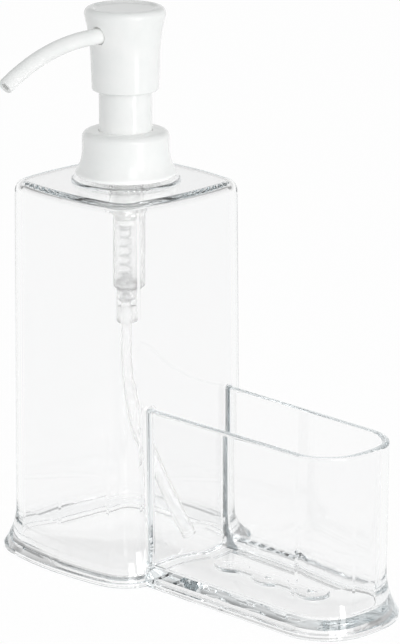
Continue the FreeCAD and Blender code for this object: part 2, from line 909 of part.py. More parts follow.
def head_shell():
    body = new_body("head_shell")
    wall = s.head_wall
    under = head_top - s.head_rounding
    top_radius = head_brow_radius - s.head_rounding
    flare = s.head_flare_radius
    turned(body, "head", [
        (head_foot_radius - wall, head_foot),
        (head_foot_radius, head_foot),
        (head_waist_radius, head_waist),
        (head_brow_radius, head_brow, -flare),
        (head_brow_radius, under),
        (top_radius, head_top, s.head_rounding),
        (top_radius - s.head_dish, head_top),
        (top_radius - s.head_dish - s.head_bevel, head_top - s.head_dish),
        (0, head_top - s.head_dish),
        (0, head_inside),
        (head_brow_radius - s.head_brow_wall, head_inside),
        (head_waist_radius - wall, head_waist, flare + wall),
    ])
    hole = circles(body, "spout_hole_outline", "XZ_Plane",
                   [(0, spout_height, s.spout_radius + s.spout_hole_clearance)])
    pushed(body, "spout_hole", hole, head_brow_radius + s.overrun, "PartDesign::Pocket", True)
    return body


def head_core():
    body = new_body("head_core")
    disc_foot = head_inside - s.core_disc
    turned(body, "column", [
        (0, core_foot),
        (core_radius, core_foot),
        (core_radius, disc_foot),
        (core_disc_radius, disc_foot),
        (core_disc_radius, head_inside),
        (0, head_inside),
    ])
    port = circles(body, "port_outline", "XZ_Plane", [(0, spout_height, s.port_radius)])
    pushed(body, "port", port, port_end)
    turned(body, "stem_socket", [
        (0, core_foot - s.overrun),
        (stem_radius, core_foot - s.overrun),
        (stem_radius, stem_top),
        (s.spout_bore, stem_top),
        (s.spout_bore, spout_height),
        (0, spout_height),
    ], "PartDesign::Groove")
    duct = circles(body, "duct_outline", "XZ_Plane", [(0, spout_height, s.spout_bore)])
    pushed(body, "duct", duct, port_end + s.overrun, "PartDesign::Pocket", True)
    socket = circles(body, "socket_outline", "XZ_Plane", [(0, spout_height, s.spout_radius)],
                     port_end - s.port_socket)
    pushed(body, "spout_socket", socket, s.port_socket + s.overrun, "PartDesign::Pocket", True)
    return body


def bent_tube(label, radius, bore, path_points, plane, section_plane, centre, lift):
    # a tube whose ring section is drawn at the start of its path
    body = new_body(label)
    path = outline(body, f"{label}_path", plane, path_points, closed=False)
    section = circles(body, f"{label}_section", section_plane, [(*centre, radius), (*centre, bore)], lift)
    piped(body, f"{label}_tube", section, path)
    return body


def spout():
    # straight out of the head, then one long bend down to the open tip
    start = port_end - s.port_socket
    drop = s.spout_drop
    run = root(2 * s.spout_bend_radius * drop - drop * drop)
    points = [
        (-start, spout_height),
        (-s.spout_straight, spout_height),
        (-s.spout_straight - run, spout_height - drop, s.spout_bend_radius),
    ]
    return bent_tube("spout", s.spout_radius, s.spout_bore, points, "YZ_Plane", "XZ_Plane",
                     (0, spout_height), start)


def dip_tube():
    # straight down from the housing, one long bend, then straight to the bottle's corner
    start = socket_top
    bend = s.tube_bend_radius
    drop = s.tube_bend_drop
    rise = root(bend * bend - drop * drop)
    sway = bend - rise
    low = tube_bend_top - drop
    points = [
        (0, start),
        (0, tube_bend_top),
        (sway, low, bend),
        (sway + (low - tube_end) * drop / rise, tube_end),
    ]
    body = bent_tube("dip_tube", s.tube_radius, s.tube_bore, points, "XZ_Plane", "XY_Plane",
                     (0, 0), start)
    body.setExpression("Placement.Rotation.Angle", s.tube_heading_degrees.text)
    return body


pieces = [
    caddy_body(),
    base_plate(),
    collar(),
    neck_gasket(),
    pump_housing(),
    ball("inlet_ball", s.inlet_ball_radius, inlet_seat, s.inlet_port),
    ball_cage(),
    neck_sleeve(),
    stem(),
    ball("outlet_ball", s.outlet_ball_radius, outlet_seat, s.stem_bore),
    piston(),
    spring_seat(),
    spring(),
    head_core(),
    head_shell(),
    spout(),
    dip_tube(),
]
doc.recompute()

for item in doc.Objects:
    if "Invalid" in item.State or "Error" in item.State:
        raise RuntimeError(f"{item.Label} failed: {item.State}")
for piece in pieces:
    shape = piece.Shape
    if shape.isNull() or not shape.isValid() or len(shape.Solids) != 1:
        raise RuntimeError(f"{piece.Label} is not one valid solid: {len(shape.Solids)}")

os.makedirs("parts", exist_ok=True)
for piece in pieces:
    piece.Shape.exportStep(f"parts/{piece.Label}.step")
    print(f"{piece.Label}: volume {piece.Shape.Volume:.1f} mm3")
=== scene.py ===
import json
import math

import bpy
import numpy as np
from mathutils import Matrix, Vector


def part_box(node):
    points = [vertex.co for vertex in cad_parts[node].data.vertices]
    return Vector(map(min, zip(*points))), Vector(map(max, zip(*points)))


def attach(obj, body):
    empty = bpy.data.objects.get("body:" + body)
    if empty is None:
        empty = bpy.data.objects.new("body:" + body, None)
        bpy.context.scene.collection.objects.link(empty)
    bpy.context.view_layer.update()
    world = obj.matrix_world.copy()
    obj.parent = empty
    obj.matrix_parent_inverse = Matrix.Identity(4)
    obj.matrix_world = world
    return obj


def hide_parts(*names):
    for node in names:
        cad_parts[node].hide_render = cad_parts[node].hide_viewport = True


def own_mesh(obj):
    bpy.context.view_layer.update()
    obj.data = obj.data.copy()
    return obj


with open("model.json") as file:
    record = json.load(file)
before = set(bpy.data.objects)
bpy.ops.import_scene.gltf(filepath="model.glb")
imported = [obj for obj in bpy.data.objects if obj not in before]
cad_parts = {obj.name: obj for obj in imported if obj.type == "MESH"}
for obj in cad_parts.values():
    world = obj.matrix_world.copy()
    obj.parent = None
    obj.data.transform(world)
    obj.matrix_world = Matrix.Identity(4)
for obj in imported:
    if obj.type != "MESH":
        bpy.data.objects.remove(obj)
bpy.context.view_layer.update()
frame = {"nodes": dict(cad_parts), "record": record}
nodes = frame["nodes"]
mm = 0.001
sharpAngle = math.radians(35)  # faces that meet at more than this keep a hard edge
print("frame: loaded", len(nodes), "nodes")


def softLoop(corners, steps=6, support=0.06):
    # each (radius, along, rounding) corner becomes an arc tangent to both of its sides, with one more point
    # just before and after it, so that straight stretches stay straight under smooth shading
    points = np.array([corner[:2] for corner in corners], float)
    pieces = []
    for index, corner in enumerate(corners):
        here = points[index]
        rounding = corner[2] if len(corner) > 2 else 0
        if rounding == 0:
            pieces.append(here[None])
            continue
        back = points[index - 1] - here
        ahead = points[(index + 1) % len(points)] - here
        back, ahead = back / np.linalg.norm(back), ahead / np.linalg.norm(ahead)
        half = math.acos(np.clip(back @ ahead, -1, 1)) / 2
        reach = rounding / math.tan(half)
        middle = (back + ahead) / np.linalg.norm(back + ahead) * rounding / math.sin(half) + here
        first, last = here + back * reach - middle, here + ahead * reach - middle
        sweep = math.pi - 2 * half
        share = np.linspace(0, 1, steps + 1)[:, None]
        arc = middle + (np.sin((1 - share) * sweep) * first + np.sin(share * sweep) * last) / math.sin(sweep)
        pieces.append(np.vstack([arc[:1] + back * support, arc, arc[-1:] + ahead * support]))
    return np.vstack(pieces)


def arcTo(start, stop, radius, steps=14):
    # points on the arc from start to stop, without its first point; a positive radius has its centre on the
    # left of the way
    start, stop = np.array(start, float), np.array(stop, float)
    chord = stop - start
    left = np.array([-chord[1], chord[0]]) / np.linalg.norm(chord)
    rise = math.sqrt(radius * radius - chord @ chord / 4)
    centre = (start + stop) / 2 + left * math.copysign(rise, radius)
    first, last = start - centre, stop - centre
    sweep = math.acos(np.clip(first @ last / (radius * radius), -1, 1))
    share = np.linspace(0, 1, steps + 1)[1:, None]
    arc = centre + (np.sin((1 - share) * sweep) * first + np.sin(share * sweep) * last) / math.sin(sweep)
    return [tuple(point) for point in arc]


def dense(loop, step, closed=True):
    # more points on the straight runs of a loop, at most step apart
    ends = np.roll(loop, -1, axis=0) if closed else np.vstack([loop[1:], loop[-1:]])
    counts = np.maximum(1, np.ceil(np.linalg.norm(ends - loop, axis=1) / step)).astype(int)
    runs = [start + (stop - start) * (np.arange(count) / count)[:, None]
            for start, stop, count in zip(loop, ends, counts)]
    return np.vstack(runs)


def upright(along):
    # path of a turned piece: straight up the pump's axis
    zero, one = np.zeros_like(along), np.ones_like(along)
    return np.stack([zero, zero, along], 1), np.stack([zero, zero, one], 1), np.stack([one, zero, zero], 1)


def bentPath(start, heading, side, straight, radius, sweep):
    # straight on from start, then an arc of the radius through the sweep angle towards side, then straight on
    start, heading, side = (np.array(vector, float) for vector in (start, heading, side))

    def path(along):
        turn = np.clip((along - straight) / radius, 0, sweep)[:, None]
        first = np.minimum(along, straight)[:, None]
        last = np.maximum(along - straight - radius * sweep, 0)[:, None]
        tangent = np.cos(turn) * heading + np.sin(turn) * side
        bend = radius * (np.sin(turn) * heading + (1 - np.cos(turn)) * side)
        centre = start + first * heading + bend + last * tangent
        return centre, tangent, np.broadcast_to(np.cross(side, heading), centre.shape)

    return path


def helixPath(radius, rise, nudge=0.001):
    # a helix about the pump's axis: along counts the turns, and rise gives the height for each turn
    def path(along):
        angle = along * 2 * np.pi
        climb = (rise(along + nudge) - rise(along - nudge)) / (2 * nudge)
        spoke = np.stack([np.cos(angle), np.sin(angle), 0 * angle], 1)
        centre = radius * spoke + np.stack([0 * angle, 0 * angle, rise(along)], 1)
        tangent = np.stack([-np.sin(angle), np.cos(angle), climb / (2 * np.pi * radius)], 1)
        return centre, tangent / np.linalg.norm(tangent, axis=1, keepdims=True), spoke

    return path


def newPiece(name, points, faces):
    # points in millimetres and faces as rows of indices become one smooth-shaded object at the origin
    mesh = bpy.data.meshes.new(name)
    mesh.from_pydata((np.asarray(points) * mm).tolist(), [], faces)
    mesh.polygons.foreach_set("use_smooth", np.ones(len(mesh.polygons), bool))
    mesh.set_sharp_from_angle(angle=sharpAngle)
    mesh.update()
    piece = bpy.data.objects.new(name, mesh)
    bpy.context.scene.collection.objects.link(piece)
    return piece


def carried(name, loop, path=upright, sides=128, closed=True):
    # point = centre(along) + radius * (cos(angle) * across(along) + sin(angle) * beside(along)), for every
    # (radius, along) of the loop and every angle of the circle, where beside = tangent x across; an open loop
    # starts and ends on the path itself
    signed = np.sum(loop[:, 1] * np.roll(loop[:, 0], -1) - loop[:, 0] * np.roll(loop[:, 1], -1))
    loop = loop if signed < 0 else loop[::-1]
    centre, tangent, across = path(loop[:, 1])
    beside = np.cross(tangent, across)
    angle = np.arange(sides) / sides * 2 * np.pi
    spokes = across[:, None] * np.cos(angle)[None, :, None] + beside[:, None] * np.sin(angle)[None, :, None]
    points = centre[:, None] + loop[:, 0, None, None] * spokes
    rows, turn = np.arange(len(loop)), np.arange(sides)
    if not closed:
        points, rows = points[1:-1], rows[:-2]
    start = (rows if closed else rows[:-1])[:, None] * sides
    after = ((rows + 1) % len(rows) if closed else rows[1:])[:, None] * sides
    ahead = (turn + 1) % sides
    quads = np.stack([start + turn, start + ahead, after + ahead, after + turn], -1).reshape(-1, 4)
    points, faces = points.reshape(-1, 3), quads.tolist()
    if not closed:
        foot, head, lastRow = len(points), len(points) + 1, rows[-1] * sides
        points = np.vstack([points, centre[:1], centre[-1:]])
        faces += np.stack([ahead, turn, np.full(sides, foot)], -1).tolist()
        faces += np.stack([lastRow + turn, lastRow + ahead, np.full(sides, head)], -1).tolist()
    return newPiece(name, points, faces)


def srgb(hexText):
    # sRGB hex to linear colour
    parts = np.array([int(hexText[index:index + 2], 16) for index in (1, 3, 5)]) / 255
    linear = np.where(parts <= 0.04045, parts / 12.92, ((parts + 0.055) / 1.055) ** 2.4)
    return (*linear.tolist(), 1.0)


def addNode(tree, kind, values, *inOrder):
    # values name the node's settings or its inputs, inOrder fills inputs from the first on, and an output
    # socket given as a value is linked
    shaderNode = tree.nodes.new(kind)
    given = list(zip(shaderNode.inputs, inOrder))
    for key, value in values.items():
        if key in shaderNode.inputs:
            given.append((shaderNode.inputs[key], value))
        else:
            setattr(shaderNode, key, value)
    for socket, value in given:
        if isinstance(value, bpy.types.NodeSocket):
            tree.links.new(value, socket)
        else:
            socket.default_value = value
    return shaderNode


def newMaterial(name):
    made = bpy.data.materials.new(name)
    made.use_nodes = True
    made.node_tree.nodes.clear()
    return made, made.node_tree


def clearSan():
    # SAN, injection moulded in a polished tool: glass-clear, a faint cool grey where the light has a long way
    # through it, and the walls wave a little where the melt cooled
    look = {"tint": "#fdfdfd", "depthTint": "#c4d0d4", "depthDensity": 6.0, "ior": 1.56,
            "waveMm": 26.0, "waveDepthMm": 0.004, "waveDetail": 1.0, "waveRoughness": 0.4}
    made, tree = newMaterial("clear SAN, polished")
    spot = addNode(tree, "ShaderNodeTexCoord", {})
    wave = addNode(tree, "ShaderNodeTexNoise", {
        "Vector": spot.outputs["Object"], "Scale": 1 / (look["waveMm"] * mm), "Detail": look["waveDetail"],
        "Roughness": look["waveRoughness"]})
    bump = addNode(tree, "ShaderNodeBump", {
        "Height": wave.outputs["Fac"], "Strength": 1.0, "Distance": look["waveDepthMm"] * mm})
    shader = addNode(tree, "ShaderNodeBsdfPrincipled", {
        "Base Color": srgb(look["tint"]), "Roughness": 0.0, "IOR": look["ior"], "Transmission Weight": 1.0,
        "Normal": bump.outputs["Normal"]})
    depth = addNode(tree, "ShaderNodeVolumeAbsorption", {
        "Color": srgb(look["depthTint"]), "Density": look["depthDensity"]})
    addNode(tree, "ShaderNodeOutputMaterial", {
        "Surface": shader.outputs["BSDF"], "Volume": depth.outputs["Volume"]})
    return made


def whitePolypropylene():
    # white polypropylene, moulded: a soft gloss over fine orange peel, and light goes a little way in
    look = {"white": "#f6f6f5", "shade": "#f2f3f2", "cloudMm": 9.0, "cloudDetail": 3.0,
            "cloudEdges": (0.35, 0.65), "roughness": (0.15, 0.22), "peelMm": 1.6, "peelDepthMm": 0.004,
            "peelDetail": 2.0, "ior": 1.49, "depthShare": 0.15, "depthMm": 1.0}
    made, tree = newMaterial("white polypropylene, moulded")
    spot = addNode(tree, "ShaderNodeTexCoord", {})
    cloud = addNode(tree, "ShaderNodeTexNoise", {
        "Vector": spot.outputs["Object"], "Scale": 1 / (look["cloudMm"] * mm), "Detail": look["cloudDetail"]})
    colour = addNode(tree, "ShaderNodeValToRGB", {"Fac": cloud.outputs["Fac"]})
    ends = zip(colour.color_ramp.elements, look["cloudEdges"], (look["shade"], look["white"]))
    for element, place, hexText in ends:
        element.position = place
        element.color = srgb(hexText)
    rough = addNode(tree, "ShaderNodeMapRange", {
        "Value": cloud.outputs["Fac"], "To Min": look["roughness"][0], "To Max": look["roughness"][1]})
    peel = addNode(tree, "ShaderNodeTexNoise", {
        "Vector": spot.outputs["Object"], "Scale": 1 / (look["peelMm"] * mm), "Detail": look["peelDetail"]})
    bump = addNode(tree, "ShaderNodeBump", {
        "Height": peel.outputs["Fac"], "Strength": 1.0, "Distance": look["peelDepthMm"] * mm})
    shader = addNode(tree, "ShaderNodeBsdfPrincipled", {
        "Base Color": colour.outputs["Color"], "Roughness": rough.outputs["Result"], "IOR": look["ior"],
        "Subsurface Weight": look["depthShare"], "Subsurface Scale": look["depthMm"] * mm,
        "Subsurface Radius": (1.0, 1.0, 1.0), "Normal": bump.outputs["Normal"]})
    addNode(tree, "ShaderNodeOutputMaterial", {"Surface": shader.outputs["BSDF"]})
    return made


def naturalPolypropylene():
    # unpigmented polypropylene, moulded: milky and see-through, so that what is inside shows as soft shapes
    look = {"tint": "#ffffff", "cloudMm": 6.0, "cloudDetail": 2.0, "roughness": (0.16, 0.26), "ior": 1.49,
            "clearShare": 0.85}
    made, tree = newMaterial("natural polypropylene, moulded")
    spot = addNode(tree, "ShaderNodeTexCoord", {})
    cloud = addNode(tree, "ShaderNodeTexNoise", {
        "Vector": spot.outputs["Object"], "Scale": 1 / (look["cloudMm"] * mm), "Detail": look["cloudDetail"]})
    rough = addNode(tree, "ShaderNodeMapRange", {
        "Value": cloud.outputs["Fac"], "To Min": look["roughness"][0], "To Max": look["roughness"][1]})
    shader = addNode(tree, "ShaderNodeBsdfPrincipled", {
        "Base Color": srgb(look["tint"]), "Roughness": rough.outputs["Result"], "IOR": look["ior"],
        "Transmission Weight": look["clearShare"]})
    addNode(tree, "ShaderNodeOutputMaterial", {"Surface": shader.outputs["BSDF"]})
    return made


def drawnSteel():
    # stainless spring steel, drawn: bright, with a gloss that changes in fine specks
    look = {"steel": "#d3d4d5", "speckMm": 0.25, "speckDetail": 2.0, "roughness": (0.18, 0.34)}
    made, tree = newMaterial("stainless steel, drawn")
    spot = addNode(tree, "ShaderNodeTexCoord", {})
    specks = addNode(tree, "ShaderNodeTexNoise", {
        "Vector": spot.outputs["Object"], "Scale": 1 / (look["speckMm"] * mm), "Detail": look["speckDetail"]})
    rough = addNode(tree, "ShaderNodeMapRange", {
        "Value": specks.outputs["Fac"], "To Min": look["roughness"][0], "To Max": look["roughness"][1]})
    shader = addNode(tree, "ShaderNodeBsdfPrincipled", {
        "Base Color": srgb(look["steel"]), "Roughness": rough.outputs["Result"], "Metallic": 1.0})
    addNode(tree, "ShaderNodeOutputMaterial", {"Surface": shader.outputs["BSDF"]})
    return made


def evaFoam():
    # EVA foam, die cut: matt, with small closed cells
    look = {"foam": "#f0efec", "cellMm": 0.35, "cellDepthMm": 0.05, "cellStrength": 0.6, "roughness": 0.85}
    made, tree = newMaterial("EVA foam, die cut")
    spot = addNode(tree, "ShaderNodeTexCoord", {})
    cells = addNode(tree, "ShaderNodeTexVoronoi", {
        "Vector": spot.outputs["Object"], "Scale": 1 / (look["cellMm"] * mm)})
    bump = addNode(tree, "ShaderNodeBump", {
        "Height": cells.outputs["Distance"], "Strength": look["cellStrength"],
        "Distance": look["cellDepthMm"] * mm})
    shader = addNode(tree, "ShaderNodeBsdfPrincipled", {
        "Base Color": srgb(look["foam"]), "Roughness": look["roughness"], "Normal": bump.outputs["Normal"]})
    addNode(tree, "ShaderNodeOutputMaterial", {"Surface": shader.outputs["BSDF"]})
    return made


finishes = {
    "clear_plastic": clearSan(),
    "white_plastic": whitePolypropylene(),
    "natural_plastic": naturalPolypropylene(),
    "steel": drawnSteel(),
    "seal": evaFoam(),
}
slotOf = {part["node"]: part["material_slot"] for part in frame["record"]["subparts"]}
for name, node in nodes.items():
    node.data.materials.clear()
    node.data.materials.append(finishes[slotOf[name]])
print("materials:", ", ".join(finish.name for finish in finishes.values()))


def dressed(piece, body, *replaced):
    # a piece that stands for CAD nodes rides on their body and takes their finish
    slotName = slotOf[replaced[0]]
    piece.data.materials.append(finishes[slotName])
    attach(piece, body)
    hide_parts(*replaced)
    return piece


def boxMm(name):
    low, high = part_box(name)
    return np.array(low) / mm, np.array(high) / mm


def pushHead():
    # trumpet: foot, waist, a long hollow flare up to the brow, round edge and dished top; the wall gets
    # thicker towards the brow
    head = {"footRadius": 12.35, "footEdge": 0.6, "waistRise": 8.7, "waistRadius": 12.65,
            "flareRadius": 80.0, "browDrop": 2.7, "rounding": 2.2, "rim": 0.6, "bevel": 1.6,
            "dish": 0.6, "dishEdge": 1.2,
            "wall": 1.5, "browWall": 3.0, "roof": 2.0, "roofEdge": 0.5, "roofDrop": 1.0, "sides": 192,
            "spoutRadius": 2.9, "hole": 3.25, "mouth": 3.6, "mouthFrom": 13.4, "mouthTo": 14.0,
            "holeFrom": 10.6, "holeTo": 20.0, "holeSides": 64}
    low, high = boxMm("head_shell")
    foot, top, brow = low[2], high[2], high[0]
    waist, inside = foot + head["waistRise"], top - head["dish"] - head["roof"]
    outer, inner = head["waistRadius"], head["waistRadius"] - head["wall"]
    browInner, browFoot = brow - head["browWall"], top - head["browDrop"]
    flareTop = inside - head["roofDrop"]
    rim = brow - head["rounding"] - head["rim"]
    loop = softLoop([
        (0, inside),
        (browInner, inside, head["roofEdge"]),
        (browInner, flareTop),
        *arcTo((browInner, flareTop), (inner, waist), head["flareRadius"] + head["wall"]),
        (head["footRadius"] - head["wall"], foot, head["footEdge"]),
        (head["footRadius"], foot, head["footEdge"]),
        (outer, waist),
        *arcTo((outer, waist), (brow, browFoot), -head["flareRadius"]),
        (brow, top, head["rounding"]),
        (rim, top, head["dishEdge"]),
        (rim - head["bevel"], top - head["dish"], head["dishEdge"]),
        (0, top - head["dish"])])
    shell = carried("pushHead", loop, sides=head["sides"], closed=False)

    # the spout's hole runs straight out along the spout's axis, with a small flare at the outer wall
    spoutAxis = boxMm("spout")[1][2] - head["spoutRadius"]
    out = bentPath((0, 0, spoutAxis), (0, -1, 0), (0, 0, -1), head["holeTo"], 1, 0)
    drill = carried("drill", np.array([
        (0, head["holeFrom"]), (head["hole"], head["holeFrom"]), (head["hole"], head["mouthFrom"]),
        (head["mouth"], head["mouthTo"]), (head["mouth"], head["holeTo"]), (0, head["holeTo"])]),
        out, head["holeSides"], False)
    cut = shell.modifiers.new("hole", "BOOLEAN")
    cut.object, cut.operation, cut.solver = drill, "DIFFERENCE", "EXACT"
    drilled = bpy.data.meshes.new_from_object(shell.evaluated_get(bpy.context.evaluated_depsgraph_get()))
    shell.modifiers.clear()
    shell.data = drilled
    drilled.name = "pushHead"
    drilled.set_sharp_from_angle(angle=sharpAngle)
    bpy.data.objects.remove(drill)
    return dressed(shell, "head", "head_shell")


def spoutTube():
    # round tube, straight out of the head and then in one long bend down, with a soft lip at its open end
    tube = {"radius": 2.9, "bore": 1.5, "rootEdge": 0.2, "lip": 0.45, "straight": 11.0, "bendRadius": 76.0,
            "drop": 12.2, "step": 1.0, "sides": 64}
    high = boxMm("spout")[1]
    sweep = math.acos(1 - tube["drop"] / tube["bendRadius"])
    length = tube["straight"] + tube["bendRadius"] * sweep
    path = bentPath((0, high[1], high[2] - tube["radius"]), (0, -1, 0), (0, 0, -1),
                    tube["straight"], tube["bendRadius"], sweep)
    loop = softLoop([
        (tube["bore"], 0, tube["rootEdge"]), (tube["radius"], 0, tube["rootEdge"]),
        (tube["radius"], length, tube["lip"]), (tube["bore"], length, tube["lip"])])
    return dressed(carried("spoutTube", dense(loop, tube["step"]), path, tube["sides"]), "head", "spout")


def screwCollar():
    # skirt with a hollow flare, upright wall, round shoulder and low dome, open below, and a bead of thread
    # inside
    collar = {"skirtEdge": 1.35, "underEdge": 1.25, "innerEdge": 0.1, "skirtWall": 1.5, "waistRise": 10.1,
              "wallRadius": 16.15, "shoulder": 2.3, "shoulderDrop": 0.45, "hole": 9.95, "holeEdge": 0.35,
              "roof": 1.9, "bore": 14.4, "boreEdge": 0.5, "sides": 192}
    bead = {"rise": 5.2, "pitch": 4.2, "turns": 1.0, "radius": 0.95, "sink": 0.25, "taper": 0.01,
            "step": 0.02, "sides": 16}
    low, high = boxMm("collar")
    foot, top, skirt = low[2], high[2], high[0]
    wall, waist, lip = collar["wallRadius"], foot + collar["waistRise"], foot + collar["skirtEdge"]
    rise, flare = waist - lip, skirt - wall
    cove = (rise * rise + flare * flare) / (2 * flare)
    loop = softLoop([
        (skirt - collar["skirtWall"], foot, collar["innerEdge"]),
        (skirt, foot, collar["underEdge"]),
        (skirt, lip),
        *arcTo((skirt, lip), (wall, waist), -cove),
        (wall, top - collar["shoulderDrop"], collar["shoulder"]),
        (collar["hole"], top, collar["holeEdge"]),
        (collar["hole"], top - collar["roof"], collar["holeEdge"]),
        (collar["bore"], top - collar["roof"], collar["boreEdge"]),
        (collar["bore"], lip + collar["skirtWall"])])
    shell = dressed(carried("screwCollar", loop, sides=collar["sides"]), "collar", "collar")
    start = foot + bead["rise"]
    path = helixPath(collar["bore"] - bead["sink"], lambda turn: start + bead["pitch"] * turn)
    section = np.array([(0, 0), (bead["radius"], bead["taper"]),
                        (bead["radius"], bead["turns"] - bead["taper"]), (0, bead["turns"])])
    thread = carried("collarThread", dense(section, bead["step"], False), path, bead["sides"], False)
    thread.data.materials.append(finishes["white_plastic"])
    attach(thread, "collar")
    return shell


def neckSleeve():
    # plain sleeve with a soft top edge, a spigot below and a guide for the stem at its foot
    sleeve = {"radius": 9.8, "bore": 7.9, "spigot": 8.2, "stepHeight": 160.3, "guide": 3.55,
              "guideThickness": 3.0, "topEdge": 0.6, "boreEdge": 0.4, "spigotEdge": 0.3, "fineEdge": 0.2,
              "sides": 160}
    low, high = boxMm("neck_sleeve")
    foot, top, step = low[2], high[2], sleeve["stepHeight"]
    guideTop = foot + sleeve["guideThickness"]
    loop = softLoop([
        (sleeve["guide"], foot, sleeve["fineEdge"]),
        (sleeve["spigot"], foot, sleeve["spigotEdge"]),
        (sleeve["spigot"], step),
        (sleeve["radius"], step, sleeve["fineEdge"]),
        (sleeve["radius"], top, sleeve["topEdge"]),
        (sleeve["bore"], top, sleeve["boreEdge"]),
        (sleeve["bore"], guideTop, sleeve["boreEdge"]),
        (sleeve["guide"], guideTop, sleeve["spigotEdge"])])
    return dressed(carried("neckSleeve", loop, sides=sleeve["sides"]), "pump", "neck_sleeve")


def pumpHousing():
    # flange and cup in the neck, long chamber, then a cone down to the ball's room and the tube's socket
    housing = {"cup": 9.6, "cupBore": 8.2, "cupFoot": 150.0, "cupFloor": 151.5, "flangeFoot": 159.0,
               "chamber": 6.5, "chamberBore": 5.4, "chamberFoot": 103.4, "coneFoot": 101.8, "ballRoom": 3.3,
               "seatTop": 98.7, "seat": 97.0, "port": 1.6, "socketTop": 95.4, "socket": 4.8,
               "socketBore": 2.78, "fineEdge": 0.2, "boreEdge": 0.3, "softEdge": 0.4, "chamberEdge": 0.5,
               "cupEdge": 0.6, "sides": 128}
    low, high = boxMm("pump_housing")
    foot, top, flange = low[2], high[2], high[0]
    fine, bore, soft = housing["fineEdge"], housing["boreEdge"], housing["softEdge"]
    outside = [
        (housing["socket"], foot, soft),
        (housing["socket"], housing["coneFoot"], soft),
        (housing["chamber"], housing["chamberFoot"], housing["chamberEdge"]),
        (housing["chamber"], housing["cupFoot"], soft),
        (housing["cup"], housing["cupFoot"], housing["cupEdge"]),
        (housing["cup"], housing["flangeFoot"], fine),
        (flange, housing["flangeFoot"], fine),
        (flange, top, fine)]
    inside = [
        (housing["cupBore"], top, fine),
        (housing["cupBore"], housing["cupFloor"], bore),
        (housing["chamberBore"], housing["cupFloor"], bore),
        (housing["chamberBore"], housing["chamberFoot"], fine),
        (housing["ballRoom"], housing["chamberFoot"], fine),
        (housing["ballRoom"], housing["seatTop"], fine),
        (housing["port"], housing["seat"], fine),
        (housing["port"], housing["socketTop"], fine),
        (housing["socketBore"], housing["socketTop"], fine)]
    loop = softLoop([(housing["socketBore"], foot, fine), *outside, *inside])
    return dressed(carried("pumpHousing", loop, sides=housing["sides"]), "pump", "pump_housing")


def dipTube():
    # straight down from the socket, one long bend, then straight on to the bottle's corner
    tube = {"radius": 2.75, "bore": 2.0, "straight": 15.4, "bendRadius": 110.0, "bendDrop": 46.5,
            "headingDegrees": 45.6, "topEdge": 0.15, "tipEdge": 0.2, "step": 2.0, "sides": 48}
    low, high = boxMm("dip_tube")
    sweep = math.asin(tube["bendDrop"] / tube["bendRadius"])
    heading = math.radians(tube["headingDegrees"])
    bendEnd = high[2] - tube["straight"] - tube["bendDrop"]
    tipHeight = low[2] + tube["radius"] * math.sin(sweep)
    length = tube["straight"] + tube["bendRadius"] * sweep + (bendEnd - tipHeight) / math.cos(sweep)
    path = bentPath((0, 0, high[2]), (0, 0, -1), (math.cos(heading), math.sin(heading), 0),
                    tube["straight"], tube["bendRadius"], sweep)
    loop = softLoop([
        (tube["bore"], 0, tube["topEdge"]), (tube["radius"], 0, tube["topEdge"]),
        (tube["radius"], length, tube["tipEdge"]), (tube["bore"], length, tube["tipEdge"])])
    return dressed(carried("dipTube", dense(loop, tube["step"]), path, tube["sides"]), "pump", "dip_tube")


def coilSpring():
    # one wire: close coils, open coils and close coils again
    spring = {"radius": 2.75, "wire": 0.4, "endTurns": 1.5, "endPitch": 1.3, "openTurns": 5.0,
              "travel": 13.0, "taper": 0.002, "turnSteps": 48, "sides": 12}
    low, high = boxMm("spring")
    turns = 2 * spring["endTurns"] + spring["openTurns"]
    foot, head = low[2] + spring["wire"], high[2] - spring["wire"]
    close = spring["endTurns"] * spring["endPitch"]
    # the heights go on for one turn past each end, so that the slope there is known too
    knots = [-1, 0, spring["endTurns"], turns - spring["endTurns"], turns, turns + 1]
    heights = [foot - spring["endPitch"], foot, foot + close, head - close, head, head + spring["endPitch"]]
    path = helixPath(spring["radius"], lambda turn: np.interp(turn, knots, heights))
    wire = np.array([(0, 0), (spring["wire"], spring["taper"]),
                     (spring["wire"], turns - spring["taper"]), (0, turns)])
    coil = carried("coilSpring", dense(wire, 1 / spring["turnSteps"], False), path, spring["sides"], False)
    piece = dressed(coil, "pump", "spring")
    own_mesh(piece)
    return piece


